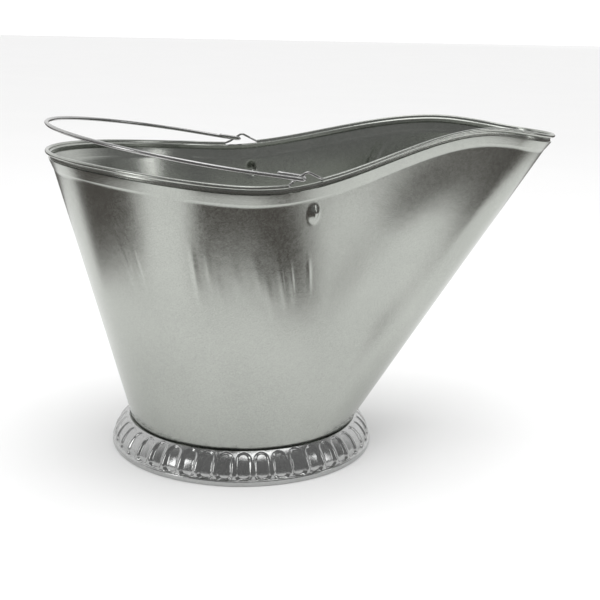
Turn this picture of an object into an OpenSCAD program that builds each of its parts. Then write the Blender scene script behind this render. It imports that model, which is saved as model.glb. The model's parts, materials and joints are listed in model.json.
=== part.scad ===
// Galvanized sheet-steel bucket with a pouring spout, a wired rim, a fluted foot ring and a wire bail.
// +X points at the spout, +Z up. The origin is the centre of the foot ring, on the floor.

/* [Mouth] */
// Furthest point of the rim behind the origin
rim_back_x = -160; // [-165:1:-155]
// Tip of the spout
rim_tip_x = 272; // [262:1:280]
// Where the rim is widest
rim_wide_x = -22; // [-30:1:-15]
// Half the widest width of the rim
rim_wide_y = 141.5; // [136:0.5:146]
// Where the spout's flank turns into its lip
lip_x = 229; // [224:1:234]
// Half width of the spout there
lip_y = 47.5; // [44:0.5:52]

/* [Heights] */
// Rim wire at the back
rim_back_z = 251.5; // [245:0.5:258]
// Rim wire at its lowest, near the ears
rim_low_z = 241; // [236:0.5:246]
// Rim wire at the hump of the spout
rim_hump_z = 274; // [268:0.5:280]
// Rim wire at the tip of the spout
rim_tip_z = 264.5; // [258:0.5:270]

/* [Sheet] */
// Thickness of the sheet steel
sheet_t = 0.5; // [0.4:0.05:0.6]
// Height of the flared collar under the rim
collar_h = 8.5; // [6:0.5:10]
// Height of the straight neck between the collar and the rolled edge
neck_h = 5.2; // [4:0.1:6.5]
// How far the collar stands out past the wall
collar_flare = 1.4; // [0.6:0.1:1.4]
// How far the neck is set in under the rolled edge
neck_inset = 1.2; // [0.6:0.1:1.4]

/* [Rim wire and ears] */
// Diameter of the wire in the rolled edge
rim_wire_d = 2; // [1.8:0.1:2.2]
// Where an ear starts and ends
ear_x = [6, 35]; // [0:1:40]
// Top of an ear, from the rim wire's own line
ear_h = 8.8; // [8.4:0.1:9.4]

/* [Bail] */
// Diameter of the bail wire
bail_d = 3.2; // [2.8:0.1:3.3]
// Radius of the bail's round part
bail_r = 137; // [134:0.5:140]
// Furthest point of the folded bail behind the origin
bail_back_x = -159.4; // [-161:0.1:-157]
// Height of that point
bail_back_z = 273.8; // [272:0.1:278]
// Length of each hook's free end
hook_l = 19; // [12:1:20]

/* [Foot] */
// Outer radius of the foot ring
foot_r = 112.5; // [110:0.5:116]
// Outer radius of the bottom of the wall
base_r = 95.6; // [94:0.1:97]
// Height of the bottom of the wall
base_z = 22; // [22:0.2:26]
// Number of flutes round the foot ring
flutes = 45; // [30:1:60]
// Depth of a flute
flute_depth = 1.7; // [1:0.1:2]

/* [Hidden] */

steel = [0.70, 0.72, 0.69];
wire_grey = [0.60, 0.61, 0.60];
fit_gap = 0.1;

// ---- The rim's path: one half as three cubic curves, from the back to the tip of the spout ----
back_reach = 83;      // reach of the back curve where it leaves the centre line
wide_reach = 37;      // reach of the back curve where it meets the widest point
shoulder_reach = 35;  // reach of the flank curve at the widest point
flank_reach = 79;     // reach of the flank curve at the lip
lip_reach = 21.5;     // reach of the lip curve at its start
tip_reach = 27;       // reach of the lip curve at the tip
lip_turn = 13;        // angle of the flank to the centre line at the lip
rim_low_x = -2;       // where the rim is lowest
rim_hump_x = 190;     // where it is highest
end_slope = 0.05;     // slope of the rim at the back and at the tip

lip_dir = [cos(lip_turn), -sin(lip_turn)];
back_curve = [[rim_back_x, 0], [rim_back_x, back_reach],
              [rim_wide_x - wide_reach, rim_wide_y], [rim_wide_x, rim_wide_y]];
flank_curve = [[rim_wide_x, rim_wide_y], [rim_wide_x + shoulder_reach, rim_wide_y],
               [lip_x, lip_y] - flank_reach * lip_dir, [lip_x, lip_y]];
lip_curve = [[lip_x, lip_y], [lip_x, lip_y] + lip_reach * lip_dir,
             [rim_tip_x, tip_reach], [rim_tip_x, 0]];
rim_curves = [back_curve, flank_curve, lip_curve];

function bezier(c, t) =
    pow(1 - t, 3) * c[0] + 3 * pow(1 - t, 2) * t * c[1] + 3 * (1 - t) * t * t * c[2] + t * t * t * c[3];
function bezier_slope(c, t) =
    pow(1 - t, 2) * (c[1] - c[0]) + 2 * (1 - t) * t * (c[2] - c[1]) + t * t * (c[3] - c[2]);

// A cubic through two heights, with a slope at each end
function ease(x, x0, z0, m0, x1, z1, m1) =
    let (h = x1 - x0, t = (x - x0) / h)
    (2 * t * t * t - 3 * t * t + 1) * z0 + (t * t * t - 2 * t * t + t) * h * m0
    + (3 * t * t - 2 * t * t * t) * z1 + (t * t * t - t * t) * h * m1;
function rim_z(x) =
    x < rim_low_x ? ease(x, rim_back_x, rim_back_z, -end_slope, rim_low_x, rim_low_z, 0)
    : x < rim_hump_x ? ease(x, rim_low_x, rim_low_z, 0, rim_hump_x, rim_hump_z, 0)
    : ease(x, rim_hump_x, rim_hump_z, 0, rim_tip_x, rim_tip_z, -end_slope);

// A station is [point on the wire's line, outward direction in plan, angle of that direction, way along]
function station(curve, t, way) =
    let (p = bezier(rim_curves[curve], t),
         s = bezier_slope(rim_curves[curve], t),
         n = [-s[1], s[0]] / norm(s))
    [[p[0], p[1], rim_z(p[0])], n, atan2(n[1], n[0]), way];
function half_stations(steps) =
    let (total = steps[0] + steps[1] + steps[2])
    [for (c = [0:2], i = [0:steps[c] - 1])
        let (before = c == 0 ? 0 : c == 1 ? steps[0] : steps[0] + steps[1])
        station(c, i / steps[c], (before + i) / total)];
function mirror_station(s) =
    [[s[0][0], -s[0][1], s[0][2]], [s[1][0], -s[1][1]], -s[2], s[3]];
function all_stations(steps) =
    let (half = half_stations(steps), last = len(half) - 1)
    concat(half, [station(2, 1, 1)], [for (i = [last:-1:1]) mirror_station(half[i])]);

// ---- Meshes: rings of points joined into a closed skin ----
// A ring of a hollow skin runs up one side of the sheet and down the other, so the diagonals change
// sides half way round it: both sides of a twisted patch then fold along the same line.
function quad(a, b, c, d, flip) = flip ? [[a, b, d], [b, c, d]] : [[a, b, c], [a, c, d]];
function band_faces(rings, size, closed) =
    [for (i = [0:rings - (closed ? 1 : 2)], j = [0:size - 1])
        let (a = i * size + j,
             b = i * size + (j + 1) % size,
             c = ((i + 1) % rings) * size + (j + 1) % size,
             d = ((i + 1) % rings) * size + j)
        each quad(a, b, c, d, j > size / 2)];
module skin_loop(rings) {
    size = len(rings[0]);
    points = [for (r = rings, p = r) p];
    polyhedron(points, band_faces(len(rings), size, true));
}
module skin_rod(rings) {
    size = len(rings[0]);
    count = len(rings);
    points = [for (r = rings, p = r) p];
    start_cap = [[for (j = [size - 1:-1:0]) j]];
    end_cap = [[for (j = [0:size - 1]) (count - 1) * size + j]];
    polyhedron(points, concat(band_faces(count, size, false), start_cap, end_cap));
}

// A ring of the wire at each point of a path, square to the path there
function unit(v) = v / norm(v);
function wire_ring(p, along, side, r, sides) =
    let (u = unit(cross(along, side)), v = cross(unit(along), u))
    [for (j = [0:sides - 1]) p + r * (cos(360 * j / sides) * u + sin(360 * j / sides) * v)];

// ---- Body shell: wall, collar, neck and the edge rolled round the rim wire ----
shell_steps = [16, 44, 10];
curl_in = rim_wire_d / 2 + fit_gap;
curl_out = curl_in + sheet_t;
curl_steps = 5;
curl_turn = 225;      // how far the edge is rolled round the wire
curl_fade = 12;       // how far from an ear the edge is fully rolled
collar_top = -neck_h;
flange_r = base_r + 1.2;
ruling_blend = 0.5;   // share of a base point's angle that follows the rim's own direction
neck_top = -2.6;      // where the neck steps out to the rolled edge
notch_drop = 0.8;     // the plain edge under an ear, below the rim wire's line
notch_step = 0.12;

function base_angle(s) = ruling_blend * s[2] + (1 - ruling_blend) * (s[2] < 0 ? -1 : 1) * 180 * (1 - s[3]);
function in_ear(s) = s[0][0] > ear_x[0] && s[0][0] < ear_x[1];
function rolled(s) = min(1, max(0, max(ear_x[0] - s[0][0], s[0][0] - ear_x[1]) / curl_fade));
function at(s, out, up) = s[0] + [out * s[1][0], out * s[1][1], up];
function base_point(s, r, z) = [r * cos(base_angle(s)), r * sin(base_angle(s)), z];
function wall_point(s, inset, share) =
    (1 - share) * base_point(s, base_r - inset, base_z + sheet_t)
    + share * at(s, -curl_in - neck_inset - inset, collar_top);
function wall_length(s) = norm(wall_point(s, 0, 1) - wall_point(s, 0, 0));
function collar_foot(s) = 1 - collar_h / wall_length(s);
function curl(s, r) =
    [for (i = [0:curl_steps])
        let (a = 180 - rolled(s) * curl_turn * i / curl_steps,
             drop = (1 - rolled(s)) * (notch_drop + notch_step * (curl_steps - i)))
        at(s, r * cos(a), r * sin(a) - drop)];
function reverse(v) = [for (i = [len(v) - 1:-1:0]) v[i]];
function shell_section(s) = concat(
    [base_point(s, base_r - sheet_t, base_z),
     base_point(s, flange_r, base_z),
     base_point(s, flange_r, base_z + sheet_t),
     wall_point(s, 0, 0),
     wall_point(s, 0, 0.5),
     wall_point(s, 0, collar_foot(s)),
     at(s, -curl_in - neck_inset + collar_flare, collar_top),
     at(s, -curl_in - neck_inset, collar_top + collar_flare),
     at(s, -curl_in - neck_inset, neck_top)],
    curl(s, curl_in),
    reverse(curl(s, curl_out)),
    [at(s, -curl_out - neck_inset, neck_top),
     at(s, -curl_out - neck_inset, collar_top + collar_flare),
     at(s, -curl_out - neck_inset + collar_flare, collar_top),
     wall_point(s, sheet_t, collar_foot(s)),
     wall_point(s, sheet_t, 0.5),
     wall_point(s, sheet_t, 0)]);
module body_shell()
    color(steel)
        skin_loop([for (s = all_stations(shell_steps)) shell_section(s)]);

// ---- Bottom plate: a disc whose edge is hooked over the wall's flange ----
hook_gap = 0.2;
plate_r = flange_r + hook_gap;
hook_in_r = base_r + 0.7;
plate_top_z = base_z;
hook_top_z = base_z + sheet_t + hook_gap;
module bottom_plate()
    color(steel)
        rotate_extrude($fn = 180)
            polygon([
                [0, plate_top_z - sheet_t],
                [plate_r + sheet_t, plate_top_z - sheet_t],
                [plate_r + sheet_t, hook_top_z + sheet_t],
                [hook_in_r, hook_top_z + sheet_t],
                [hook_in_r, hook_top_z],
                [plate_r, hook_top_z],
                [plate_r, plate_top_z],
                [0, plate_top_z]]);

// ---- Foot ring: a flared, fluted wall that hides the bottom's seam, with a rolled hem ----
flute_steps = 4;
hem_t = 2.6;
hem_h = 5.2;
foot_top_r = plate_r + 2 * sheet_t + 0.6;
foot_top_z = hook_top_z + sheet_t + 1.1;
lip_in_r = foot_top_r - sheet_t - 0.4;
plate_seat_z = base_z - sheet_t;
foot_low_r = foot_r - hem_t / 2;
flare_power = 2;      // above 1, the wall flares quickly below its top and stands upright at the hem
foot_levels = [0, 0.12, 0.3, 0.6, 0.88, 1];
foot_depths = [0, 0.35, 0.9, 1, 1, 0];
function foot_wall(a, level, depth, inset) =
    let (groove = (1 - cos(a * flutes)) / 2,
         flare = 1 - pow(1 - level, flare_power),
         r = foot_top_r + flare * (foot_low_r - foot_top_r) - inset - depth * flute_depth * groove)
    [r * cos(a), r * sin(a), foot_top_z + level * (hem_h - foot_top_z)];
function foot_point(a, r, z) = [r * cos(a), r * sin(a), z];
function foot_section(a) = concat(
    [for (i = [0:5]) foot_wall(a, foot_levels[i], foot_depths[i], 0)],
    [for (i = [5:-1:2]) foot_wall(a, foot_levels[i], foot_depths[i], sheet_t)],
    [foot_point(a, foot_top_r - sheet_t, plate_seat_z - sheet_t),
     foot_point(a, base_r - 2, plate_seat_z - sheet_t),
     foot_point(a, base_r - 2, plate_seat_z),
     foot_point(a, foot_top_r - sheet_t, plate_seat_z),
     foot_point(a, foot_top_r - sheet_t, foot_top_z - sheet_t),
     foot_point(a, lip_in_r, foot_top_z - sheet_t),
     foot_point(a, lip_in_r, foot_top_z)]);
module foot_ring() {
    count = flutes * flute_steps;
    color(steel) {
        skin_loop([for (i = [0:count - 1]) foot_section(-i * 360 / count)]);
        rotate_extrude($fn = 180)
            translate([foot_r - hem_t / 2, hem_h / 2])
                intersection() {
                    circle(hem_h / 2 + 0.1, $fn = 48);
                    square([hem_t, hem_h], center = true);
                }
    }
}

// ---- Rim wire: a loop inside the rolled edge that rises into an ear at each side ----
wire_steps = [16, 66, 10];
wire_sides = 8;
ear_top = [20, 23];
pivot_x = 19;
ear_rise_x = 6;   // how far an ear's leg takes to swing into line with the centre line
function rim_y(x, lo = 0, hi = 1) =
    let (mid = (lo + hi) / 2)
    hi - lo < 0.0001 ? bezier(flank_curve, mid)[1]
    : bezier(flank_curve, mid)[0] < x ? rim_y(x, mid, hi) : rim_y(x, lo, mid);
pivot_y = rim_y(pivot_x);
function smooth(t) = let (c = min(1, max(0, t))) c * c * (3 - 2 * c);
function ear_rise(x) =
    let (up = min(1, max(0, (x - ear_x[0]) / (ear_top[0] - ear_x[0]))),
         down = min(1, max(0, (ear_x[1] - x) / (ear_x[1] - ear_top[1]))))
    ear_h * min(up, down);
function ear_line(x) = smooth((x - ear_x[0]) / ear_rise_x) * smooth((ear_x[1] - x) / ear_rise_x);
function wire_point(s) =
    let (p = s[0], side = p[1] < 0 ? -1 : 1, in_line = in_ear(s) ? ear_line(p[0]) : 0)
    [p[0],
     p[1] + in_line * (side * pivot_y - p[1]),
     p[2] + (in_ear(s) ? ear_rise(p[0]) : 0)];
module rim_wire() {
    path = [for (s = all_stations(wire_steps)) wire_point(s)];
    count = len(path);
    color(wire_grey)
        skin_loop([for (i = [0:count - 1])
            wire_ring(path[i], path[(i + 1) % count] - path[(i + count - 1) % count],
                      [0, 0, 1], rim_wire_d / 2, wire_sides)]);
}

// ---- Bail: a round wire whose ends are bent back through the ears ----
bail_sides = 10;
pivot_rise = 4;        // the hinge line, above the rim wire's line at the ears
hook_lift = 0.7;       // half the height between a hook's two strands
hook_half = 3.5;       // half the width between them
pivot_z = rim_z(pivot_x) + pivot_rise;
bail_reach = norm([pivot_x - bail_back_x, bail_back_z + hook_lift - pivot_z]);
bail_angle = atan2(bail_back_z + hook_lift - pivot_z, pivot_x - bail_back_x);
arc_centre = bail_reach - bail_r;
hook_r = norm([hook_half, hook_lift]);
hook_across = [hook_half, -hook_lift] / hook_r;
arm_curve = [[hook_r, pivot_y + hook_half], [hook_r + 12, pivot_y + hook_half],
             [arc_centre - 14, bail_r], [arc_centre, bail_r]];

// Bail points are [along the bail from the hinge line, out to the side, square to the bail]
hook_end = [[hook_l, pivot_y - hook_half, hook_lift]];
hook_bend = [for (a = [0:30:180])
    let (across = -hook_r * cos(a))
    [hook_r * (1 - sin(a)), pivot_y + across * hook_across[0], across * hook_across[1]]];
arm = [for (i = [1:6]) let (p = bezier(arm_curve, i / 7)) [p[0], p[1], -hook_lift]];
round_part = [for (a = [0:9:90]) [arc_centre + bail_r * sin(a), bail_r * cos(a), -hook_lift]];
half_bail = concat(hook_end, hook_bend, arm, round_part);
function mirror_bail(p) = [p[0], -p[1], p[2]];
bail_path = concat(half_bail, [for (i = [len(half_bail) - 2:-1:0]) mirror_bail(half_bail[i])]);
function bail_place(p) =
    [pivot_x - p[0] * cos(bail_angle) + p[2] * sin(bail_angle),
     p[1],
     pivot_z + p[0] * sin(bail_angle) + p[2] * cos(bail_angle)];
module bail_handle() {
    path = [for (p = bail_path) bail_place(p)];
    count = len(path);
    lean = [sin(bail_angle), 0, cos(bail_angle)];
    color(wire_grey)
        skin_rod([for (i = [0:count - 1])
            wire_ring(path[i], path[min(i + 1, count - 1)] - path[max(i - 1, 0)],
                      lean, bail_d / 2, bail_sides)]);
}

body_shell();
bottom_plate();
foot_ring();
rim_wire();
bail_handle();
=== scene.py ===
"""Looks for the galvanized bucket: finer sheet-metal meshes, materials, light and camera.

Metres, in the CAD frame: +X points at the spout, +Z up, and the origin is on the floor.
"""
import json
import math

import bpy
import numpy as np
from mathutils import Matrix, Vector


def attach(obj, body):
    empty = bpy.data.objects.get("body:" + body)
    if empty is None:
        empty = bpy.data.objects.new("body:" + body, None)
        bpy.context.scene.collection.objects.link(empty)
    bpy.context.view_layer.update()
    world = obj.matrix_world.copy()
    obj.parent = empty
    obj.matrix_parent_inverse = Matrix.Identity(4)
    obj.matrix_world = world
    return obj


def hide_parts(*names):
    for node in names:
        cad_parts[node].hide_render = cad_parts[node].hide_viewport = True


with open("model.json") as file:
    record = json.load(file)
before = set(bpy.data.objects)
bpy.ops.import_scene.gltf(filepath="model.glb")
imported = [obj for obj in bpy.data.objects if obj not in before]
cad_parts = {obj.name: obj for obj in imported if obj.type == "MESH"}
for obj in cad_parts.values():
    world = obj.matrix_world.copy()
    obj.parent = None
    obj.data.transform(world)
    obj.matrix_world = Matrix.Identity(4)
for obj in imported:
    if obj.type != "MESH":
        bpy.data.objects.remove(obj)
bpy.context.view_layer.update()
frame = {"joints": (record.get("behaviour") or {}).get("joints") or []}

MM = 0.001

# ---- Driving sizes, as in the CAD model ----
SHEET_T = 0.5 * MM
NECK_H = 5.2 * MM
COLLAR_H = 8.5 * MM
COLLAR_FLARE = 1.4 * MM
WIRE_R = 1.0 * MM
CURL_R = WIRE_R + 0.1 * MM + SHEET_T / 2
NECK_INSET = 1.2 * MM
BASE_R = 95.6 * MM
BASE_Z = 22.0 * MM
FLANGE_OUT = 1.2 * MM
FOOT_R = 112.5 * MM
HEM_T = 2.6 * MM
HEM_H = 5.2 * MM
FLUTES = 45
FLUTE_DEPTH = 1.7 * MM
BAIL_WIRE_R = 1.6 * MM
BAIL_R = 137 * MM
EAR_FROM_X = 6 * MM
EAR_TO_X = 35 * MM
EAR_TOP_X = 21.5 * MM
EAR_H = 8.8 * MM
PIVOT = Vector(frame["joints"][0]["pos_m"])


# ---- The rim's path ----
LIP_TURN = math.radians(13)
LIP_DIR = np.array([math.cos(LIP_TURN), -math.sin(LIP_TURN)])
WIDEST = np.array([-22.0, 141.5]) * MM
LIP = np.array([229.0, 47.5]) * MM
RIM_BACK_X = -160 * MM
RIM_TIP_X = 272 * MM
RIM_CURVES = [
    [(RIM_BACK_X, 0), (RIM_BACK_X, 83 * MM), WIDEST - (37 * MM, 0), WIDEST],
    [WIDEST, WIDEST + (35 * MM, 0), LIP - 79 * MM * LIP_DIR, LIP],
    [LIP, LIP + 21.5 * MM * LIP_DIR, (RIM_TIP_X, 27 * MM), (RIM_TIP_X, 0)],
]
RIM_LENGTH_SHARES = (0, 16 / 70, 60 / 70, 1)
RIM_HEIGHTS = [
    (RIM_BACK_X, 251.5 * MM, -0.05),
    (-2 * MM, 241 * MM, 0),
    (190 * MM, 274 * MM, 0),
    (RIM_TIP_X, 264.5 * MM, -0.05),
]


def bezier(points, t):
    a, b, c, d = (np.array(p, float) for p in points)
    t = np.atleast_1d(t)[:, None]
    return (1 - t) ** 3 * a + 3 * (1 - t) ** 2 * t * b + 3 * (1 - t) * t * t * c + t ** 3 * d


def smooth(t):
    t = np.clip(t, 0, 1)
    return t * t * (3 - 2 * t)


def rim_z(x):
    """Height of the rim wire over x: cubic eases between the back, low point, hump and tip."""
    z = np.zeros_like(x)
    for (x0, z0, m0), (x1, z1, m1) in zip(RIM_HEIGHTS, RIM_HEIGHTS[1:]):
        h = x1 - x0
        t = (x - x0) / h
        piece = (
            (2 * t ** 3 - 3 * t ** 2 + 1) * z0
            + (t ** 3 - 2 * t ** 2 + t) * h * m0
            + (3 * t ** 2 - 2 * t ** 3) * z1
            + (t ** 3 - t ** 2) * h * m1
        )
        z = np.where((x >= x0 - 1e-9) & (x <= x1 + 1e-9), piece, z)
    return z


class Rim:
    """Evenly spaced points along the rim, with the outward direction and the share of the way round."""

    def __init__(self, count):
        t = np.linspace(0, 1, 400)
        half = np.vstack([bezier(c, t)[:-1] for c in RIM_CURVES] + [[(RIM_TIP_X, 0)]])
        way = np.concatenate(
            [a + (b - a) * t[:-1] for a, b in zip(RIM_LENGTH_SHARES, RIM_LENGTH_SHARES[1:])] + [[1]]
        )
        mirrored = half[-2:0:-1] * (1, -1)
        plan = np.vstack([half, mirrored, half[:1]])
        ways = np.concatenate([way, 2 - way[-2:0:-1], [2]])
        length = np.concatenate([[0], np.cumsum(np.linalg.norm(np.diff(plan, axis=0), axis=1))])
        even = np.linspace(0, length[-1], count, endpoint=False)
        self.xy = np.column_stack([np.interp(even, length, plan[:, k]) for k in (0, 1)])
        self.way = np.interp(even, length, ways)
        along = np.roll(self.xy, -1, axis=0) - np.roll(self.xy, 1, axis=0)
        along /= np.linalg.norm(along, axis=1)[:, None]
        self.out = np.column_stack([-along[:, 1], along[:, 0]])
        self.z = rim_z(self.xy[:, 0])

    def at(self, out, up):
        """The rim's points moved outward in plan and upward."""
        flat = self.xy + self.out * out
        return np.column_stack([flat, self.z + up])


# ---- Meshes ----
def grid_faces(rows, columns, closed):
    faces = []
    for i in range(rows - 1):
        for j in range(columns if closed else columns - 1):
            k = (j + 1) % columns
            faces.append((i * columns + j, i * columns + k, (i + 1) * columns + k, (i + 1) * columns + j))
    return faces


def new_object(name, points, faces):
    mesh = bpy.data.meshes.new(name)
    mesh.from_pydata([tuple(p) for p in points], [], faces)
    mesh.validate()
    obj = bpy.data.objects.new(name, mesh)
    bpy.context.scene.collection.objects.link(obj)
    return obj


def settle(obj, crease=40):
    """Applies the modifiers, and shades smooth except over folds sharper than crease degrees."""
    graph = bpy.context.evaluated_depsgraph_get()
    mesh = bpy.data.meshes.new_from_object(obj.evaluated_get(graph))
    obj.modifiers.clear()
    obj.data = mesh
    mesh.shade_smooth()
    mesh.set_sharp_from_angle(angle=math.radians(crease))


def sheet_metal(name, rows, leave_out=None, thickness=SHEET_T):
    """A piece of sheet from rows of points round the object, in the middle of the sheet's thickness."""
    grid = np.array(rows)
    count_rows, columns = grid.shape[:2]
    faces = grid_faces(count_rows, columns, True)
    if leave_out is not None:
        faces = [f for f in faces if not leave_out[f[0] // columns, f[0] % columns]]
    obj = new_object(name, grid.reshape(-1, 3), faces)
    used = {v for f in faces for v in f}
    if len(used) < len(obj.data.vertices):
        drop_loose(obj, used)
    solid = obj.modifiers.new("thickness", "SOLIDIFY")
    solid.thickness = thickness
    solid.offset = 0
    settle(obj)
    return obj


def drop_loose(obj, used):
    order = sorted(used)
    place = {v: i for i, v in enumerate(order)}
    points = [obj.data.vertices[v].co.copy() for v in order]
    faces = [[place[v] for v in p.vertices] for p in obj.data.polygons]
    mesh = bpy.data.meshes.new(obj.name)
    mesh.from_pydata(points, [], faces)
    obj.data = mesh


def wire(name, path, radius, closed, sides=20):
    """A round wire along a path. An open wire's ends are cut square with a small rounded edge."""
    path = np.array(path)
    if closed:
        along = np.roll(path, -1, axis=0) - np.roll(path, 1, axis=0)
    else:
        along = np.gradient(path, axis=0)
    along /= np.linalg.norm(along, axis=1)[:, None]
    side = carried_sides(along)
    up = np.cross(along, side)
    turn = np.linspace(0, 2 * math.pi, sides, endpoint=False)
    radii = np.full(len(path), radius)
    if not closed:
        bevel = 0.3 * radius
        path = np.vstack([path[0] - along[0] * bevel, path, path[-1] + along[-1] * bevel])
        side = np.vstack([side[:1], side, side[-1:]])
        up = np.vstack([up[:1], up, up[-1:]])
        radii = np.concatenate([[0.7 * radius], radii, [0.7 * radius]])
    ring = np.cos(turn)[None, :, None] * side[:, None] + np.sin(turn)[None, :, None] * up[:, None]
    points = path[:, None] + radii[:, None, None] * ring
    faces = grid_faces(len(path), sides, True)
    if closed:
        last = (len(path) - 1) * sides
        shift = closing_shift(points, sides)
        for j in range(sides):
            k = (j + 1) % sides
            faces.append((last + j, last + k, (k + shift) % sides, (j + shift) % sides))
    else:
        faces.append(tuple(range(sides - 1, -1, -1)))
        faces.append(tuple((len(path) - 1) * sides + j for j in range(sides)))
    obj = new_object(name, points.reshape(-1, 3), faces)
    settle(obj, 50)
    return obj


def carried_sides(along):
    """A sideways direction carried along a path without twisting."""
    side = np.zeros_like(along)
    first = np.cross(along[0], (0, 0, 1))
    side[0] = first / np.linalg.norm(first)
    for i in range(1, len(along)):
        v = side[i - 1] - along[i] * np.dot(side[i - 1], along[i])
        side[i] = v / np.linalg.norm(v)
    return side


def closing_shift(points, sides):
    """How many places the first ring is turned against the last one of a closed wire."""
    turned = (np.roll(points[0], -k, axis=0) for k in range(sides))
    gaps = [np.linalg.norm(points[-1] - ring, axis=1).sum() for ring in turned]
    return int(np.argmin(gaps))


# ---- Body shell ----
STATIONS = 840
WALL_ROWS = 90
DEVELOPED = 0.85       # share of the wall that runs as a sheet bent without stretching
SETTLE_STEPS = 30      # steps in which the wall's base angles settle
SMOOTH_STATIONS = 101  # stations over which the angles are averaged
CURL_END = -100        # degrees: the rolled edge ends under the wire
CURL_STEPS = 14
PLAIN_EDGE = -0.9 * MM # the sheet's edge under the ears, below the wire's line
CREASE_OUT = 0.15 * MM # how far the collar's foot stands out from the wall
NECK_TOP = -2.0 * MM   # where the neck ends and the step out to the rolled edge begins
COLLAR_SHARES = (0.04, 0.12, 0.5, 0.88, 0.97)


def base_angles(rim, top):
    """Where each station's straight line meets the round base, mostly as unstretched sheet would lie."""
    proportional = math.pi * (1 - rim.way)
    along = np.roll(top, -1, axis=0) - np.roll(top, 1, axis=0)
    angle = np.arctan2(rim.out[:, 1], rim.out[:, 0])
    for _ in range(SETTLE_STEPS):
        base = base_points(angle, BASE_R)
        across = np.cross(along, top - base)
        angle = angle + 0.5 * wrap(np.arctan2(across[:, 1], across[:, 0]) - angle)
    angle = np.unwrap(angle)
    turned = even_out(angle - angle[0] + math.pi - proportional)
    return DEVELOPED * (turned - turned[0]) + proportional


def even_out(values):
    """The values round the rim, averaged over their neighbours so that the wall has no sudden bend."""
    window = np.hanning(SMOOTH_STATIONS)
    padded = np.concatenate([values[-SMOOTH_STATIONS:], values, values[:SMOOTH_STATIONS]])
    return np.convolve(padded, window / window.sum(), "same")[SMOOTH_STATIONS:-SMOOTH_STATIONS]


def wrap(angle):
    """The angle brought into plus or minus a quarter turn, because a line's direction has no sign."""
    return (angle + math.pi / 2) % math.pi - math.pi / 2


def base_points(angle, radius, z=BASE_Z + SHEET_T):
    return np.column_stack([radius * np.cos(angle), radius * np.sin(angle), np.full(len(angle), z)])


def bump(value, centre, half):
    """A smooth hump, 1 at the centre and 0 beyond half."""
    return smooth(1 - np.abs(value - centre) / half)


# Creases left by forming: x of the rim above in mm, share of the height from and to,
# half width and height in mm, and the side: -1 near, 1 far
FORMING_CREASES = [
    (-119, 0.58, 0.84, 3.5, 0.32, -1),
    (-110, 0.58, 0.82, 3.0, 0.27, -1),
    (-62, 0.54, 0.87, 4.0, 0.36, -1),
    (-51, 0.60, 0.86, 4.0, 0.27, -1),
    (-43, 0.54, 0.80, 3.5, 0.22, -1),
    (-30, 0.62, 0.82, 5.0, 0.18, -1),
    (-15, 0.62, 0.84, 3.5, 0.32, -1),
    (-8, 0.54, 0.80, 3.5, 0.32, -1),
    (3, 0.56, 0.85, 3.5, 0.45, -1),
    (12, 0.58, 0.83, 3.0, 0.36, -1),
    (30, 0.62, 0.81, 3.0, 0.27, -1),
    (-112, 0.56, 0.82, 3.5, 0.27, 1),
    (-70, 0.54, 0.84, 4.0, 0.32, 1),
    (-58, 0.60, 0.80, 3.5, 0.22, 1),
    (-24, 0.56, 0.84, 4.0, 0.32, 1),
    (-12, 0.62, 0.86, 3.5, 0.27, 1),
    (6, 0.56, 0.82, 3.5, 0.36, 1),
    (24, 0.60, 0.80, 3.0, 0.27, 1),
]
CREASE_LEAN = 30 * MM  # how far a crease leans towards the spout over the whole wall
LUG_X = 30 * MM
LUG_SHARE = 0.945
LUG_HALF = (4.8 * MM, 6.6 * MM)
LUG_DEPTH = 2.4 * MM
BELLY_X = (140 * MM, 85 * MM)   # the spout's flanks bulge a little: middle and half length
BELLY_SHARE = (0.70, 0.30)      # middle and half of the bulge's height, as shares of the wall
BELLY_DEPTH = 3.0 * MM
SEAM_X = 150 * MM
SEAM_HALF = 4.5 * MM
SEAM_PROUD = 0.45 * MM
SEAM_EDGE = 0.8 * MM   # length of the step at the seam's edge
SEAM_FADE = 0.08       # share of the wall over which the seam fades out at the top
LUG_SPREAD = 1.25      # where the lug ends, in half sizes


def wall_relief(rim, share, wall_length):
    """How far the wall stands out at one height: forming creases, lugs, bulge and seam."""
    relief = np.zeros(len(rim.way))
    for x, low, high, half, height, side in FORMING_CREASES:
        middle = (low + high) / 2
        centre = x * MM + CREASE_LEAN * (middle - share)
        here = (np.sign(rim.xy[:, 1]) == side) * bump(rim.xy[:, 0], centre, half * MM)
        relief += here * height * MM * bump(share, middle, (high - low) / 2)
    away = np.hypot(
        (rim.xy[:, 0] - LUG_X) / LUG_HALF[0], (share - LUG_SHARE) * wall_length / LUG_HALF[1]
    )
    relief += LUG_DEPTH * smooth(LUG_SPREAD - away)
    relief += BELLY_DEPTH * bump(rim.xy[:, 0], *BELLY_X) * bump(share, *BELLY_SHARE)
    from_seam = np.where(rim.xy[:, 1] > 0, np.abs(rim.xy[:, 0] - SEAM_X), 1)
    seam_end = smooth((1 - share) / SEAM_FADE)
    relief += SEAM_PROUD * seam_end * smooth((SEAM_HALF - from_seam) / SEAM_EDGE + 0.5)
    return relief


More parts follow.
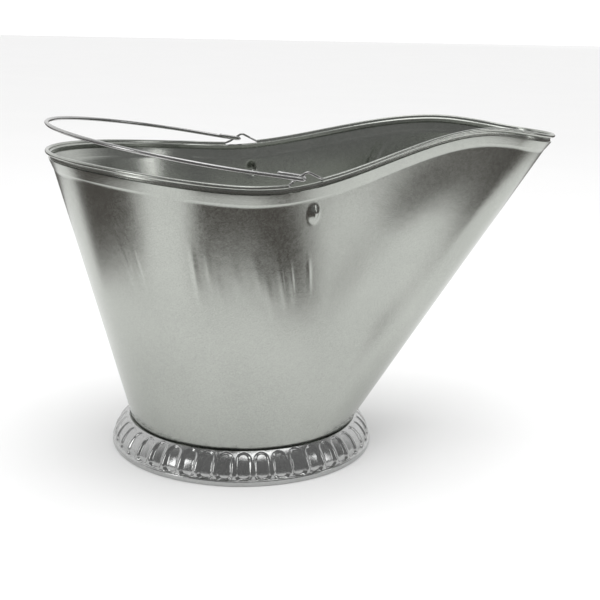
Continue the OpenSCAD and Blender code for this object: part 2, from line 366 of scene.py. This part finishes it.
def body_shell():
    rim = Rim(STATIONS)
    inner = -CURL_R - NECK_INSET
    top = rim.at(inner, -NECK_H)
    base = base_points(base_angles(rim, top), BASE_R - SHEET_T / 2)
    wall_length = np.linalg.norm(top - base, axis=1)
    foot = 1 - COLLAR_H / wall_length
    outward = wall_normals(base, top)

    rows = [base_points(base_angles(rim, top), BASE_R + FLANGE_OUT, BASE_Z + SHEET_T / 2)]
    rows.append(base + (0, 0, -SHEET_T / 2))
    for share in np.linspace(0, 1, WALL_ROWS):
        way = (foot * share)[:, None]
        point = base * (1 - way) + top * way
        rows.append(point + outward * wall_relief(rim, share, wall_length)[:, None])
    lean = rim.at(inner + COLLAR_FLARE, -NECK_H)
    for share in COLLAR_SHARES:
        way = foot[:, None]
        start = base * (1 - way) + top * way + outward * CREASE_OUT
        rows.append(start * (1 - share) + lean * share)
    rows.append(rim.at(inner + 0.6 * COLLAR_FLARE, -NECK_H + 0.1 * MM))
    rows.append(rim.at(inner + 0.1 * MM, -NECK_H + 0.35 * MM))
    for up in (-NECK_H + 0.6 * MM, -NECK_H + 0.8 * MM, NECK_TOP - 0.2 * MM, NECK_TOP):
        rows.append(rim.at(inner, up))
    rows.append(rim.at(inner + 0.2 * MM, NECK_TOP + 0.15 * MM))
    rows.append(rim.at(-CURL_R - 0.1 * MM, PLAIN_EDGE - 0.3 * MM))
    rows.append(rim.at(-CURL_R, PLAIN_EDGE))
    plain_rows = len(rows)
    for turn in np.radians(np.linspace(180, CURL_END, CURL_STEPS)):
        rows.append(rim.at(CURL_R * math.cos(turn), CURL_R * math.sin(turn)))

    in_ear = (rim.xy[:, 0] > EAR_FROM_X) & (rim.xy[:, 0] < EAR_TO_X)
    leave_out = np.zeros((len(rows), STATIONS), bool)
    leave_out[plain_rows - 1:, in_ear] = True
    return sheet_metal("body_sheet", rows, leave_out)


def wall_normals(base, top):
    along = np.roll(top, -1, axis=0) - np.roll(top, 1, axis=0)
    normal = np.cross(top - base, along)
    normal /= np.linalg.norm(normal, axis=1)[:, None]
    outward = np.sign(np.sum(normal * (base * (1, 1, 0)), axis=1))
    return normal * outward[:, None]


# ---- Bottom plate ----
PLATE_COLUMNS = 240
PANEL_R = 84 * MM
PANEL_DROP = 1.2 * MM
PANEL_STEP = 3 * MM             # how far inside the panel's edge its flat part ends
PANEL_BEND_R = 1.5 * MM
PANEL_ROWS = 8
HOOK_GAP = 0.2 * MM


def revolve(profile, columns):
    """Rows of points round the Z axis, one for each [radius, z] of a profile."""
    turn = -np.linspace(0, 2 * math.pi, columns, endpoint=False)
    return [
        np.column_stack([r * np.cos(turn), r * np.sin(turn), np.full(columns, z)]) for r, z in profile
    ]


def bend(centre, radius, start, end, steps):
    """Points of a bend in a profile, as [radius, z], from one angle to another in degrees."""
    turns = np.radians(np.linspace(start, end, steps))
    return [(centre[0] + radius * math.cos(a), centre[1] + radius * math.sin(a)) for a in turns]


def bottom_plate():
    middle_z = BASE_Z - SHEET_T / 2
    outer = BASE_R + FLANGE_OUT + HOOK_GAP + SHEET_T / 2
    hook_r = HOOK_GAP + SHEET_T
    profile = [(0.2 * MM, middle_z - PANEL_DROP)]
    profile += [(r, middle_z - PANEL_DROP) for r in np.linspace(10 * MM, PANEL_R - PANEL_STEP, PANEL_ROWS)]
    low_centre = (PANEL_R - PANEL_STEP, middle_z - PANEL_DROP + PANEL_BEND_R)
    profile += bend(low_centre, PANEL_BEND_R, -80, -50, 4)
    profile += bend((PANEL_R + 1 * MM, middle_z - PANEL_BEND_R), PANEL_BEND_R, 125, 90, 4)
    profile += [(outer - hook_r, middle_z)]
    profile += bend((outer - hook_r, middle_z + hook_r), hook_r, -70, 90, 9)
    profile += [(BASE_R + 1.0 * MM, middle_z + 2 * hook_r)]
    return sheet_metal("bottom_plate_sheet", revolve(profile, PLATE_COLUMNS))


# ---- Foot ring ----
FLUTE_COLUMNS = 20
FLUTE_ROWS = 36
FLARE_POWER = 2.0
PANEL_HALF = 0.90      # half width of a flute's panel, as a share of half its pitch
PANEL_EDGE = 0.40      # width of the panel's round edge, as a share of its half width
ARCH_FROM = 0.26       # where the panel's arch springs, as a share of the way down
ARCH_RISE = 0.24
FOOT_FROM = 0.86       # where the panel starts to round off at its bottom
FOOT_RISE = 0.20
LAP_ANGLE = math.radians(-107)
LAP_WIDTH = 9 * MM
LAP_PROUD = 0.6        # in sheet thicknesses
LAP_EDGE = 0.5 * MM
UNEVEN = 0.22          # how much the flutes differ from each other in depth
LIP_IN = 0.8 * MM      # how far the ring's top edge turns in
HEM_BEND_R = 1.0 * MM
HEM_BEND_STEPS = 6


def flute_relief(across, down):
    """Depth of a flute, 0 to 1: a panel with a round arch at the top and a flatter one above the hem."""
    above = max(ARCH_FROM - down, 0) / ARCH_RISE
    below = max(down - FOOT_FROM, 0) / FOOT_RISE
    inside = 1 - np.hypot(across / PANEL_HALF, above + below)
    return smooth(inside / PANEL_EDGE)


def foot_ring():
    columns = FLUTES * FLUTE_COLUMNS
    turn = -np.linspace(0, 2 * math.pi, columns, endpoint=False)
    flute = np.arange(columns) // FLUTE_COLUMNS
    across = 2 * ((np.arange(columns) % FLUTE_COLUMNS) / FLUTE_COLUMNS) - 1
    depth = FLUTE_DEPTH * (1 - UNEVEN * (0.5 + 0.5 * np.sin(7.3 * flute + 2.1 * np.sin(3.7 * flute))))
    top_r = BASE_R + FLANGE_OUT + HOOK_GAP + 2 * SHEET_T + 0.6 * MM
    top_z = BASE_Z + 2 * SHEET_T + HOOK_GAP + 1.1 * MM
    low_r = FOOT_R - HEM_T / 2
    lap = smooth((LAP_WIDTH - np.abs(wrap_turn(turn - LAP_ANGLE)) * FOOT_R) / LAP_EDGE)

    def ring_row(radius, z):
        radii = radius + lap * LAP_PROUD * SHEET_T
        return np.column_stack([radii * np.cos(turn), radii * np.sin(turn), np.full(columns, z)])

    lip_r = top_r - SHEET_T - LIP_IN
    rows = [ring_row(lip_r, top_z - SHEET_T / 2 - 0.1 * MM)]
    rows.append(ring_row(top_r - 0.7 * SHEET_T, top_z - SHEET_T / 2 + 0.05 * MM))
    for down in np.linspace(0.03, 1, FLUTE_ROWS):
        flare = 1 - (1 - down) ** FLARE_POWER
        radius = top_r - SHEET_T / 2 + flare * (low_r - top_r) - depth * flute_relief(across, down)
        rows.append(ring_row(radius, top_z - SHEET_T / 2 + down * (HEM_H - top_z + SHEET_T / 2)))
    for r, z in hem_profile():
        rows.append(ring_row(r, z))
    return sheet_metal("foot_ring_sheet", rows)


def hem_profile():
    """The hem: the sheet steps out, runs down, and rolls under and up again inside."""
    out = FOOT_R - SHEET_T / 2
    inside = FOOT_R - HEM_T
    low = SHEET_T / 2
    high_centre = (out - HEM_BEND_R, HEM_H - 0.6 * MM - HEM_BEND_R)
    profile = bend(high_centre, HEM_BEND_R, 80, 0, HEM_BEND_STEPS)
    profile += bend((out - HEM_BEND_R, low + HEM_BEND_R), HEM_BEND_R, 0, -90, HEM_BEND_STEPS)
    profile += bend((inside + HEM_BEND_R, low + HEM_BEND_R), HEM_BEND_R, -90, -180, HEM_BEND_STEPS)
    profile.append((inside, HEM_H - 1.5 * MM))
    return profile


def wrap_turn(angle):
    return (angle + math.pi) % (2 * math.pi) - math.pi


# ---- Rim wire and ears ----
EAR_SOFT = 1.1 * MM
EAR_EASE = 6 * MM               # over this length the wire turns into and out of an ear
WIRE_STATIONS = 2400


def soft_min(a, b, soft):
    return -soft * np.log(np.exp(-a / soft) + np.exp(-b / soft))


def rim_wire():
    rim = Rim(WIRE_STATIONS)
    x, y = rim.xy.T
    rise = EAR_H * (x - EAR_FROM_X) / (EAR_TOP_X - EAR_FROM_X)
    fall = EAR_H * (EAR_TO_X - x) / (EAR_TO_X - EAR_TOP_X)
    lift = -soft_min(-soft_min(rise, fall, EAR_SOFT), 0 * x, 0.4 * EAR_SOFT)
    leg = smooth((x - EAR_FROM_X) / EAR_EASE) * smooth((EAR_TO_X - x) / EAR_EASE)
    pivot_y = np.interp(PIVOT.x, x[: len(x) // 2], y[: len(x) // 2])
    path = np.column_stack([x, y + leg * (np.sign(y) * pivot_y - y), rim.z + lift])
    return wire("rim_wire_smooth", path, WIRE_R, True, 14)


# ---- Bail ----
HOOK_LIFT = 0.7 * MM
HOOK_HALF = 3.5 * MM
HOOK_LENGTH = 19 * MM
HOOK_SHARES = (1, 0.8, 0.6, 0.45) # points along the hook's short return, as shares of its length
BAIL_BACK = (-159.4 * MM, 273.8 * MM)


def bail():
    reach_x = PIVOT.x - BAIL_BACK[0]
    reach_z = BAIL_BACK[1] + HOOK_LIFT - PIVOT.z
    reach = math.hypot(reach_x, reach_z)
    slope = math.atan2(reach_z, reach_x)
    rim = Rim(WIRE_STATIONS)
    half = len(rim.xy) // 2
    pivot_y = np.interp(PIVOT.x, rim.xy[:half, 0], rim.xy[:half, 1])
    arc_centre = reach - BAIL_R
    hook_r = math.hypot(HOOK_HALF, HOOK_LIFT)
    hook = [(HOOK_LENGTH * s, pivot_y - HOOK_HALF, HOOK_LIFT) for s in HOOK_SHARES]
    for a in np.radians(np.linspace(0, 180, 19)):
        across = -math.cos(a)
        hook.append((hook_r * (1 - math.sin(a)), pivot_y + across * HOOK_HALF, -across * HOOK_LIFT))
    arm = [(hook_r, pivot_y + HOOK_HALF), (hook_r + 12 * MM, pivot_y + HOOK_HALF),
           (arc_centre - 14 * MM, BAIL_R), (arc_centre, BAIL_R)]
    arm_points = [(p[0], p[1], -HOOK_LIFT) for p in bezier(arm, np.linspace(0, 1, 40)[1:-1])]
    round_part = [
        (arc_centre + BAIL_R * math.sin(a), BAIL_R * math.cos(a), -HOOK_LIFT)
        for a in np.radians(np.linspace(0, 90, 70))
    ]
    path = hook + arm_points + round_part
    path += [(p[0], -p[1], p[2]) for p in reversed(path[:-1])]
    placed = [
        (
            PIVOT.x - p[0] * math.cos(slope) + p[2] * math.sin(slope),
            p[1],
            PIVOT.z + p[0] * math.sin(slope) + p[2] * math.cos(slope),
        )
        for p in path
    ]
    return wire("bail_wire", placed, BAIL_WIRE_R, False)


# ---- Materials ----
class Nodes:
    """Small helper to build a material's nodes."""

    def __init__(self, name):
        self.material = bpy.data.materials.new(name)
        self.material.use_nodes = True
        self.tree = self.material.node_tree
        self.shader = self.tree.nodes["Principled BSDF"]
        self.place = self.add("ShaderNodeTexCoord").outputs["Object"]

    def add(self, kind, **inputs):
        node = self.tree.nodes.new(kind)
        for name, value in inputs.items():
            node.inputs[name].default_value = value
        return node

    def link(self, output, socket):
        self.tree.links.new(output, socket)

    def noise(self, scale, detail=3.0, stretch=(1, 1, 1)):
        mapping = self.add("ShaderNodeMapping")
        mapping.inputs["Scale"].default_value = stretch
        self.link(self.place, mapping.inputs["Vector"])
        texture = self.add("ShaderNodeTexNoise", Scale=scale, Detail=detail)
        self.link(mapping.outputs["Vector"], texture.inputs["Vector"])
        return texture.outputs["Fac"]

    def cells(self, scale):
        texture = self.add("ShaderNodeTexVoronoi", Scale=scale)
        self.link(self.place, texture.inputs["Vector"])
        split = self.add("ShaderNodeSeparateColor")
        self.link(texture.outputs["Color"], split.inputs["Color"])
        return split.outputs["Red"]

    def spread(self, value, low, high):
        """A 0 to 1 pattern as low to high."""
        node = self.add("ShaderNodeMapRange")
        self.link(value, node.inputs["Value"])
        node.inputs["To Min"].default_value = low
        node.inputs["To Max"].default_value = high
        return node.outputs["Result"]

    def ramp(self, value, start, end):
        """A smooth step from 0 at start to 1 at end, either way round."""
        node = self.add("ShaderNodeMapRange")
        node.interpolation_type = "SMOOTHSTEP"
        self.link(value, node.inputs["Value"])
        node.inputs["From Min"].default_value = start
        node.inputs["From Max"].default_value = end
        return node.outputs["Result"]

    def maths(self, operation, a, b):
        node = self.add("ShaderNodeMath")
        node.operation = operation
        for value, socket in zip((a, b), node.inputs):
            if isinstance(value, float):
                socket.default_value = value
            else:
                self.link(value, socket)
        return node.outputs["Value"]

    def blend(self, factor, dark, light):
        node = self.add("ShaderNodeMix")
        node.data_type = "RGBA"
        self.link(factor, node.inputs["Factor"])
        node.inputs[6].default_value = (*dark, 1)
        node.inputs[7].default_value = (*light, 1)
        return node.outputs[2]

    def bump(self, height, distance, strength=1.0):
        node = self.add("ShaderNodeBump", Strength=strength, Distance=distance)
        self.link(height, node.inputs["Height"])
        self.link(node.outputs["Normal"], self.shader.inputs["Normal"])


def galvanized(name, dark, light, roughness, spangle):
    """Zinc on steel: spangles of different brightness, soft stains and a faintly uneven surface."""
    n = Nodes(name)
    grains = n.cells(spangle)
    stains = n.noise(14, 4)
    fine = n.noise(900, 2, (1, 1, 2.5))
    mottle = n.maths("ADD", n.spread(grains, -0.15, 0.15), n.spread(fine, -1.6, 1.6))
    tone = n.maths("ADD", mottle, n.spread(stains, -0.2, 1.2))
    n.link(n.blend(tone, dark, light), n.shader.inputs["Base Color"])
    dull = n.spread(stains, roughness - 0.04, roughness + 0.04)
    rough = n.maths("ADD", n.spread(grains, -0.03, 0.03), dull)
    n.link(rough, n.shader.inputs["Roughness"])
    n.shader.inputs["Metallic"].default_value = 1.0
    relief = n.maths("ADD", n.maths("MULTIPLY", n.noise(60, 3), 0.8), n.maths("MULTIPLY", fine, 0.2))
    n.bump(relief, 0.25 * MM, 0.5)
    return n.material


def paper(name, colour):
    n = Nodes(name)
    tone = n.spread(n.noise(3, 2), colour - 0.01, colour + 0.01)
    mix = n.add("ShaderNodeCombineColor")
    for channel in ("Red", "Green", "Blue"):
        n.link(tone, mix.inputs[channel])
    n.link(mix.outputs["Color"], n.shader.inputs["Base Color"])
    n.shader.inputs["Roughness"].default_value = 0.9
    return n.material


# ---- Studio ----
FLOOR_TONE = 0.84
# painted reflection: the dark colour the card shows to reflections beyond the paper
PAINTED_DARK_REFLECTION = (0.068, 0.058, 0.052)
PAINTED_REFLECTION_SECTORS = [(-118, -71, 0.40), (-44, 53, 0.36)] # where dark reflections are painted: degrees from and to, and the paper's end in metres
SECTOR_EDGES = (6, 7)           # half widths of a sector's two edges, in degrees
SECTOR_PAPER_EDGE = (0.05, 0.06)
PAPER_FADE = (0.78, 1.0)        # the paper's end outside the sectors, beyond which the dark reflection is painted
MIRRORED_RADII = (0.16, 0.4, 1, 3, 15)
MIRRORED_COLUMNS = 64
ROOM_STRENGTH = 1.15
MIRRORED_STRENGTH = (0.19, 0.95)
MIRRORED_TURN = (0.0, 0.52)     # from the camera's side to the backdrop, as the y of the direction
FLOOR_HALF = 15
# Name, centre, point it faces, size and power
LIGHTS = [
    ("overhead", (0.1, -0.1, 1.6), (0, 0, 0.15), (1.1, 1.1), 7.5),
    ("strip_left", (-1.3, -0.5, 0.65), (0, 0, 0.1), (0.28, 0.9), 2.5),
    ("strip_right", (1.4, -0.6, 0.65), (0, 0, 0.1), (0.22, 0.9), 1.3),
]


def painted_reflection_card():
    """A card that only reflections see: lit paper near the bucket, and beyond its edges a painted dark
    reflection that stands in for a dark room.

    The paper ends closest in the dark sectors, which paint dark reflections onto the metal. Turns are
    degrees from the front, -Y, towards the spout, +X.
    """
    n = Nodes("painted_reflection_floor")
    split = n.add("ShaderNodeSeparateXYZ")
    n.link(n.place, split.inputs["Vector"])
    x, y = split.outputs["X"], split.outputs["Y"]
    radius = n.maths("POWER", n.maths("ADD", n.maths("MULTIPLY", x, x), n.maths("MULTIPLY", y, y)), 0.5)
    turn = n.maths("MULTIPLY", n.maths("ARCTAN2", x, n.maths("MULTIPLY", y, -1.0)), 180 / math.pi)
    # mask of the painted dark reflection: dark beyond the paper's end, seen only in the metal's
    # reflections
    dark = n.ramp(radius, *PAPER_FADE)
    first, last = SECTOR_EDGES
    for start, end, paper_end in PAINTED_REFLECTION_SECTORS:
        begun = n.ramp(turn, start - first, start + first)
        inside = n.maths("MULTIPLY", begun, n.ramp(turn, end + last, end - last))
        beyond = n.ramp(radius, paper_end - SECTOR_PAPER_EDGE[0], paper_end + SECTOR_PAPER_EDGE[1])
        dark = n.maths("MAXIMUM", dark, n.maths("MULTIPLY", inside, beyond))
    # the dark colour is a painted reflection: only glossy rays see this card, so it paints dark patches
    # into the metal
    n.link(n.blend(dark, (FLOOR_TONE,) * 3, PAINTED_DARK_REFLECTION), n.shader.inputs["Base Color"])
    n.shader.inputs["Roughness"].default_value = 0.9
    rings = np.array(revolve([(r, MM) for r in MIRRORED_RADII], MIRRORED_COLUMNS))
    faces = grid_faces(len(MIRRORED_RADII), MIRRORED_COLUMNS, True)
    card = new_object("painted_reflection_floor", rings.reshape(-1, 3), faces)
    card.data.materials.append(n.material)
    # hidden from the camera, from diffuse light and from shadows: the card only paints reflections
    card.visible_camera = False
    card.visible_diffuse = False
    card.visible_shadow = False


def area_light(name, centre, target, size, power):
    data = bpy.data.lights.new(name, "AREA")
    data.shape = "RECTANGLE"
    data.size, data.size_y = size
    data.energy = power
    obj = bpy.data.objects.new(name, data)
    direction = Vector(target) - Vector(centre)
    turn = direction.to_track_quat("-Z", "Y").to_matrix().to_4x4()
    obj.matrix_world = Matrix.Translation(centre) @ turn
    bpy.context.scene.collection.objects.link(obj)


def room():
    """An even white room. Reflections see it dimmer, and brightest behind the bucket."""
    world = bpy.data.worlds.new("studio")
    world.use_nodes = True
    tree = world.node_tree
    new, link = tree.nodes.new, tree.links.new
    background = tree.nodes["Background"]
    split = new("ShaderNodeSeparateXYZ")
    link(new("ShaderNodeTexCoord").outputs["Generated"], split.inputs["Vector"])
    mirrored = new("ShaderNodeMapRange")
    mirrored.interpolation_type = "SMOOTHSTEP"
    mirrored.inputs["From Min"].default_value = MIRRORED_TURN[0]
    mirrored.inputs["From Max"].default_value = MIRRORED_TURN[1]
    mirrored.inputs["To Min"].default_value = MIRRORED_STRENGTH[0]
    mirrored.inputs["To Max"].default_value = MIRRORED_STRENGTH[1]
    link(split.outputs["Y"], mirrored.inputs["Value"])
    strength = new("ShaderNodeMix")
    link(new("ShaderNodeLightPath").outputs["Is Glossy Ray"], strength.inputs["Factor"])
    strength.inputs["A"].default_value = ROOM_STRENGTH
    link(mirrored.outputs["Result"], strength.inputs["B"])
    link(strength.outputs["Result"], background.inputs["Strength"])
    background.inputs["Color"].default_value = (1, 1, 1, 1)
    bpy.context.scene.world = world


def studio():
    room()
    bpy.context.scene.view_settings.view_transform = "Standard"
    corners = [(FLOOR_HALF * x, FLOOR_HALF * y, 0) for x, y in ((-1, -1), (1, -1), (1, 1), (-1, 1))]
    floor = new_object("floor", corners, [(0, 1, 2, 3)])
    floor.data.materials.append(paper("pale_floor", FLOOR_TONE))
    painted_reflection_card()
    for light in LIGHTS:
        area_light(*light)


# ---- Camera ----
LOOK_AT = Vector((54.0, 0, 124.2)) * MM
VIEW_AZIMUTH = math.radians(-14.08)
VIEW_ELEVATION = math.radians(14.32)
VIEW_ROLL = math.radians(1.41)
VIEW_DISTANCE = 957 * MM
SENSOR_WIDTH = 36               # millimetres, like the lens
LENS = 66.1
FRAME_SHIFT = (-0.0077, -0.0065)


def camera():
    data = bpy.data.cameras.new("camera")
    data.sensor_width = SENSOR_WIDTH
    data.lens = LENS
    data.shift_x, data.shift_y = FRAME_SHIFT
    data.clip_start = 0.05
    obj = bpy.data.objects.new("camera", data)
    back = Vector((
        math.sin(VIEW_AZIMUTH) * math.cos(VIEW_ELEVATION),
        -math.cos(VIEW_AZIMUTH) * math.cos(VIEW_ELEVATION),
        math.sin(VIEW_ELEVATION),
    ))
    level = Vector((math.cos(VIEW_AZIMUTH), math.sin(VIEW_AZIMUTH), 0))
    upright = back.cross(level)
    right = level * math.cos(VIEW_ROLL) + upright * math.sin(VIEW_ROLL)
    up = back.cross(right)
    turn = Matrix((right, up, back)).transposed().to_4x4()
    obj.matrix_world = Matrix.Translation(LOOK_AT + back * VIEW_DISTANCE) @ turn
    bpy.context.scene.collection.objects.link(obj)
    bpy.context.scene.camera = obj


# ---- The bucket ----
def dress(piece, node, body, material):
    piece.data.materials.clear()
    piece.data.materials.append(material)
    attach(piece, body)
    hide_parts(node)


camera()
studio()
sheet = galvanized("galvanized_sheet", (0.385, 0.40, 0.372), (0.485, 0.50, 0.467), 0.22, 700)
foot = galvanized("galvanized_foot", (0.42, 0.425, 0.42), (0.54, 0.545, 0.54), 0.18, 700)
steel_wire = galvanized("galvanized_wire", (0.38, 0.38, 0.38), (0.50, 0.50, 0.49), 0.22, 900)
dress(body_shell(), "body_shell", "bucket", sheet)
dress(bottom_plate(), "bottom_plate", "bucket", sheet)
dress(foot_ring(), "foot_ring", "bucket", foot)
dress(rim_wire(), "rim_wire", "bucket", steel_wire)
dress(bail(), "bail_handle", "bail", steel_wire)
